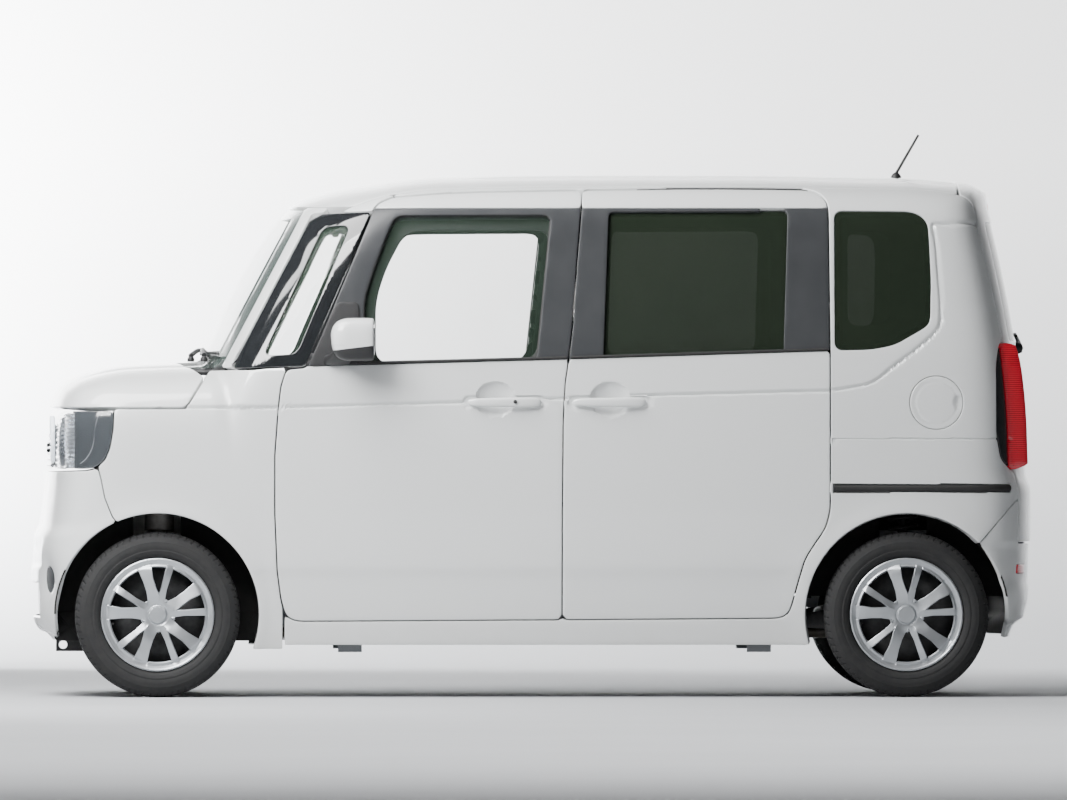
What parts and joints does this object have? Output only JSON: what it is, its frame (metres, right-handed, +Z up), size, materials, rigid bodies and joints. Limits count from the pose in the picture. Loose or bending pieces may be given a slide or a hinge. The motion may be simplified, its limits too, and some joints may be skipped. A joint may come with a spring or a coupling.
{
  "type": "small passenger car",
  "caption": "Tall one-box small car with a hollow cabin, opening front doors, tailgate, bonnet and fuel lid, steering front wheels and turning wheels.",
  "frame": {"origin": "middle of the whole object's box at the ground the tyres stand on", "axes": "+X towards the nose, +Y towards the car's left side, +Z up"},
  "size_m": [3.3942, 1.7746, 1.904],
  "materials": {
    "white_paint": "pearl gloss",
    "clear_glass": "clear",
    "privacy_glass": "dark tint",
    "lamp_lens": "clear lens",
    "red_lens": "gloss",
    "black_plastic": "satin",
    "liner_plastic": "matt",
    "seat_fabric": "woven",
    "floor_steel": "satin",
    "tank_plastic": "satin",
    "engine_alloy": "cast",
    "exhaust_steel": "dull",
    "chassis_black": "satin",
    "plate_white": "semi gloss",
    "tyre_rubber": "matt",
    "wheel_silver": "satin metallic"
  },
  "bodies": {
    "body": {"floor_pan": "floor_steel", "roof": "white_paint", "body_sides": "white_paint", "front_fenders": "white_paint", "front_bumper": "white_paint", "rear_bumper": "white_paint", "windscreen": "clear_glass", "side_glass": "privacy_glass", "headlamps": "lamp_lens", "tail_lamps": "red_lens", "grille": "black_plastic", "cowl": "black_plastic", "dashboard": "black_plastic", "steering_wheel": "black_plastic", "front_seats": "seat_fabric", "rear_seat": "seat_fabric", "sliding_doors": "white_paint", "wheel_liners": "liner_plastic", "engine": "engine_alloy", "fuel_tank": "tank_plastic", "exhaust": "exhaust_steel", "front_subframe": "chassis_black", "rear_axle": "chassis_black", "antenna": "black_plastic"},
    "front_door_left": {"front_door_left": "white_paint", "front_door_glass_left": "clear_glass", "door_mirror_left": "white_paint"},
    "front_door_right": {"front_door_right": "white_paint", "front_door_glass_right": "clear_glass", "door_mirror_right": "white_paint"},
    "tailgate": {"tailgate": "white_paint", "tailgate_glass": "privacy_glass", "number_plate": "plate_white"},
    "bonnet": {"bonnet": "white_paint"},
    "fuel_lid": {"fuel_lid": "white_paint"},
    "knuckle_left": {"front_knuckle_left": "chassis_black"},
    "knuckle_right": {"front_knuckle_right": "chassis_black"},
    "wheel_front_left": {"tyre_front_left": "tyre_rubber", "wheel_front_left": "wheel_silver"},
    "wheel_front_right": {"tyre_front_right": "tyre_rubber", "wheel_front_right": "wheel_silver"},
    "wheel_rear_left": {"tyre_rear_left": "tyre_rubber", "wheel_rear_left": "wheel_silver"},
    "wheel_rear_right": {"tyre_rear_right": "tyre_rubber", "wheel_rear_right": "wheel_silver"}
  },
  "joints": [
    {"name": "front_door_left_hinge", "type": "hinge", "parent": "body", "child": "front_door_left", "pos_m": [0.86, 0.731, 0.7], "axis": [0, 0, -1], "range_deg": [0, 68]},
    {"name": "front_door_right_hinge", "type": "hinge", "parent": "body", "child": "front_door_right", "pos_m": [0.86, -0.731, 0.7], "axis": [0, 0, 1], "range_deg": [0, 68]},
    {"name": "tailgate_hinge", "type": "hinge", "parent": "body", "child": "tailgate", "pos_m": [-1.448, 0, 1.738], "axis": [0, 1, 0], "range_deg": [0, 86]},
    {"name": "bonnet_hinge", "type": "hinge", "parent": "body", "child": "bonnet", "pos_m": [1.112, 0, 1.112], "axis": [0, -1, 0], "range_deg": [0, 50]},
    {"name": "fuel_lid_hinge", "type": "hinge", "parent": "body", "child": "fuel_lid", "pos_m": [-1.2615, 0.736, 0.991], "axis": [0, 0, -1], "range_deg": [0, 95]},
    {"name": "steer_left", "type": "hinge", "parent": "body", "child": "knuckle_left", "pos_m": [1.276, 0.552, 0.204], "axis": [-0.0343, -0.096, 0.9948], "range_deg": [-34, 34]},
    {"name": "steer_right", "type": "hinge", "parent": "body", "child": "knuckle_right", "pos_m": [1.276, -0.552, 0.204], "axis": [-0.0343, 0.096, 0.9948], "range_deg": [-34, 34]},
    {"name": "front_left_wheel_spin", "type": "hinge", "parent": "knuckle_left", "child": "wheel_front_left", "pos_m": [1.27, 0.6525, 0.278], "axis": [0, 1, 0], "continuous": true},
    {"name": "front_right_wheel_spin", "type": "hinge", "parent": "knuckle_right", "child": "wheel_front_right", "pos_m": [1.27, -0.6525, 0.278], "axis": [0, 1, 0], "continuous": true},
    {"name": "rear_left_wheel_spin", "type": "hinge", "parent": "body", "child": "wheel_rear_left", "pos_m": [-1.25, 0.6525, 0.278], "axis": [0, 1, 0], "continuous": true},
    {"name": "rear_right_wheel_spin", "type": "hinge", "parent": "body", "child": "wheel_rear_right", "pos_m": [-1.25, -0.6525, 0.278], "axis": [0, 1, 0], "continuous": true}
  ],
  "couplings": [
    {"joint": "steer_right", "follows": "steer_left", "ratio": 1}
  ]
}
